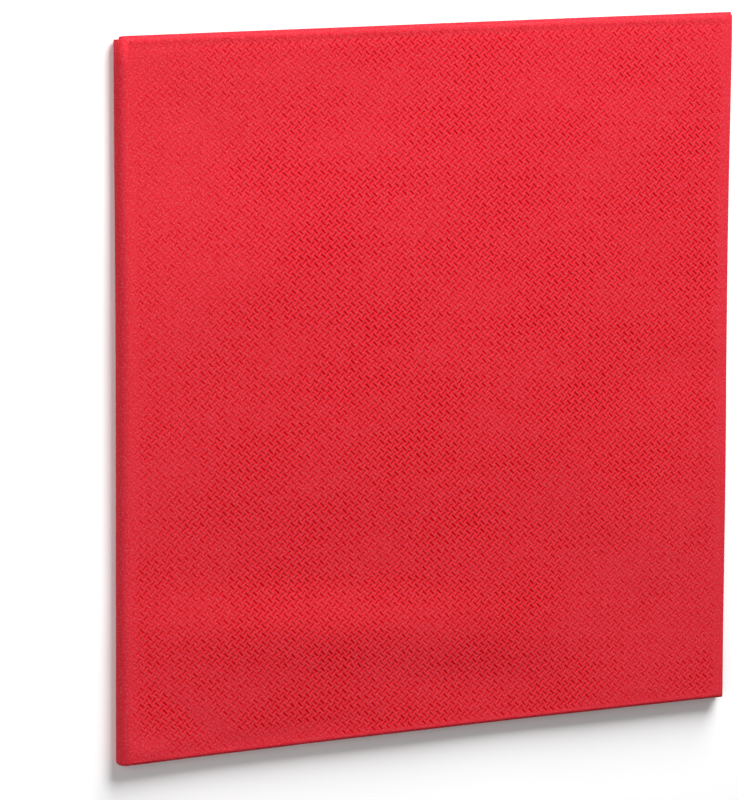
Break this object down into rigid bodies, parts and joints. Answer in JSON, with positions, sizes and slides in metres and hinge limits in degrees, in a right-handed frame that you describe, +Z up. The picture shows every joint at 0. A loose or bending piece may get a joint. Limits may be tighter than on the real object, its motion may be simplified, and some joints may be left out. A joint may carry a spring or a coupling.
{
  "type": "folded paper napkin",
  "caption": "Square soft embossed paper napkin folded into a quarter of its size, lying flat, for laying a table and wiping mouth and hands.",
  "frame": {"origin": "on the surface that the napkin lies on, under the middle of the folded napkin", "axes": "+Z up through the four leaves; -X the second fold, which is the spine; -Y the first fold; +X and +Y the open cut edges"},
  "size_m": [0.2, 0.2, 0.0058],
  "materials": {
    "red_paper": "soft matte, embossed"
  },
  "bodies": {
    "root": {"napkin": "red_paper"}
  },
  "joints": []
}
